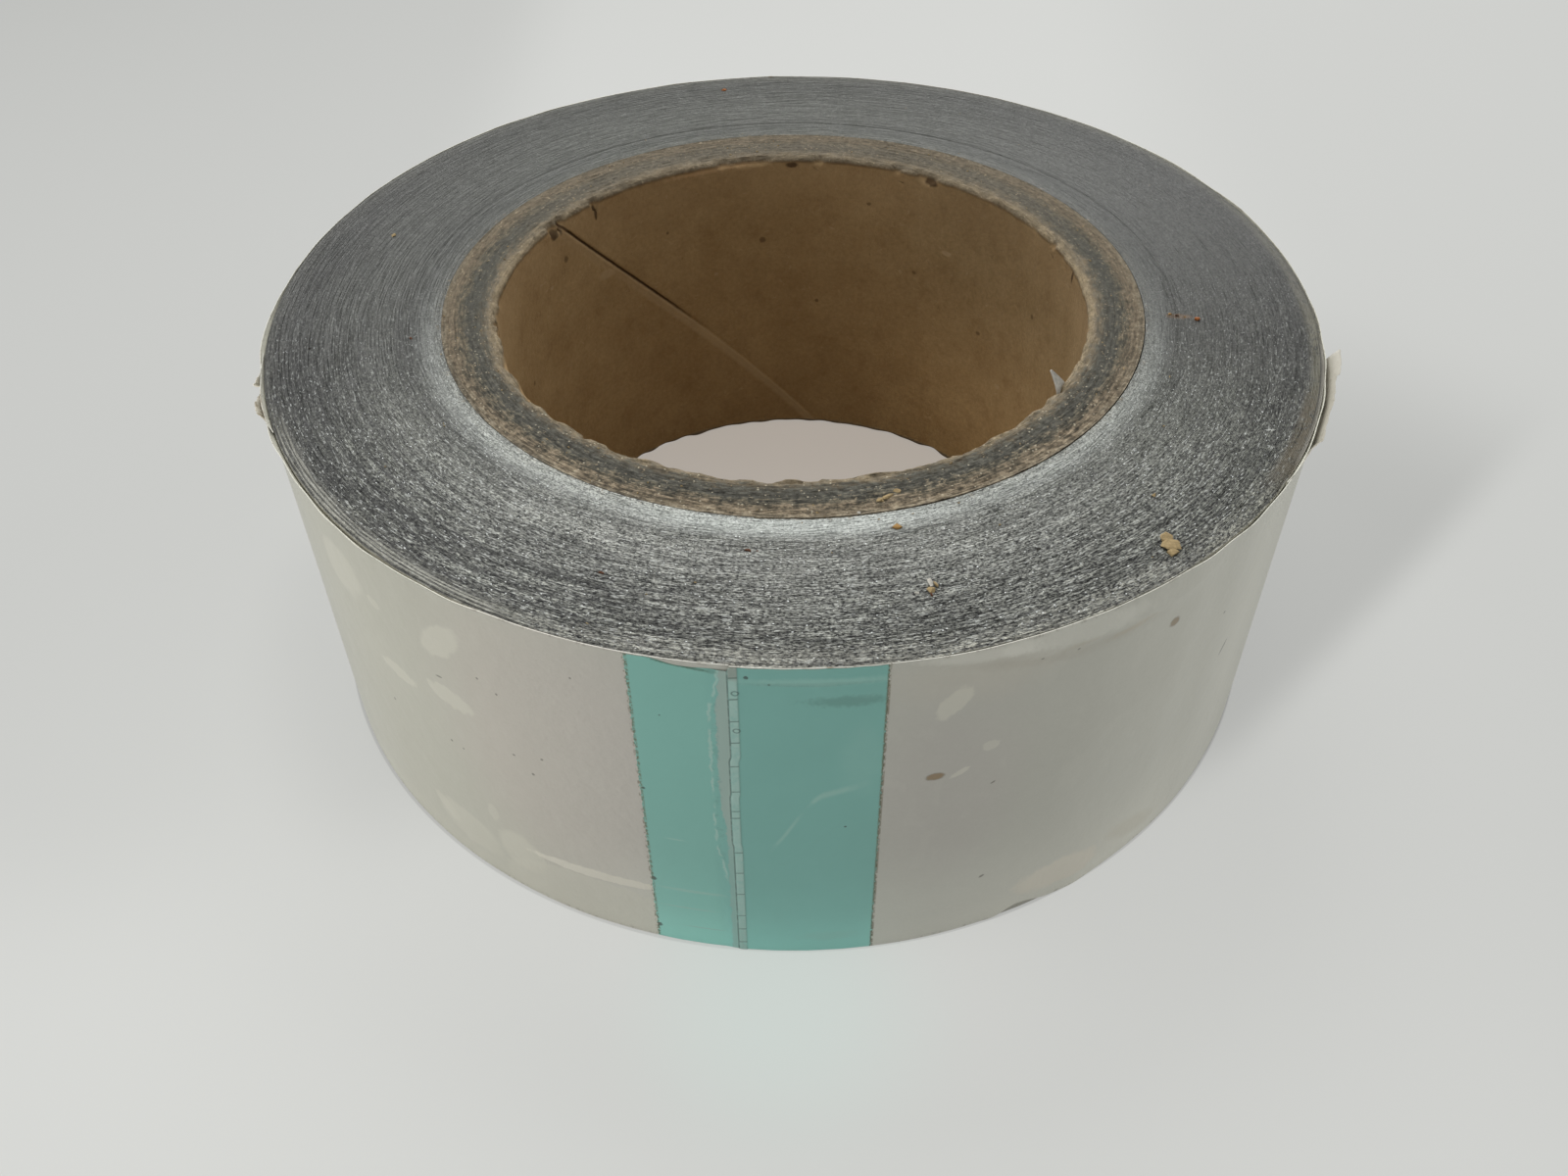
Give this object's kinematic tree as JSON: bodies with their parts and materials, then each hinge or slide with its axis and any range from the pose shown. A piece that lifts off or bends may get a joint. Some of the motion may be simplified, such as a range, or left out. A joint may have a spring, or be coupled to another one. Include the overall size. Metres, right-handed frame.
{
  "type": "aluminium foil tape roll",
  "caption": "Roll of aluminium foil tape with paper release liner on a paperboard core, its free end held down by a short film tab.",
  "frame": {"origin": "on the axis of the core, at the end face that the roll stands on", "axes": "+Z along the axis of the roll, up; -Y towards the end of the tape and its tab"},
  "size_m": [0.1344, 0.1337, 0.05],
  "materials": {
    "core_board": "raw kraft paperboard, fuzzy cut ends with darker plies",
    "foil": "slit edges of foil, adhesive and paper in fine turns, dull grey with small glints",
    "liner_paper": "off-white coated paper with a soft sheen",
    "tab_film": "thin teal film, satin"
  },
  "bodies": {
    "root": {"core_tube": "core_board", "foil_winding": "foil", "release_liner": "liner_paper", "end_tab": "tab_film"}
  },
  "joints": []
}
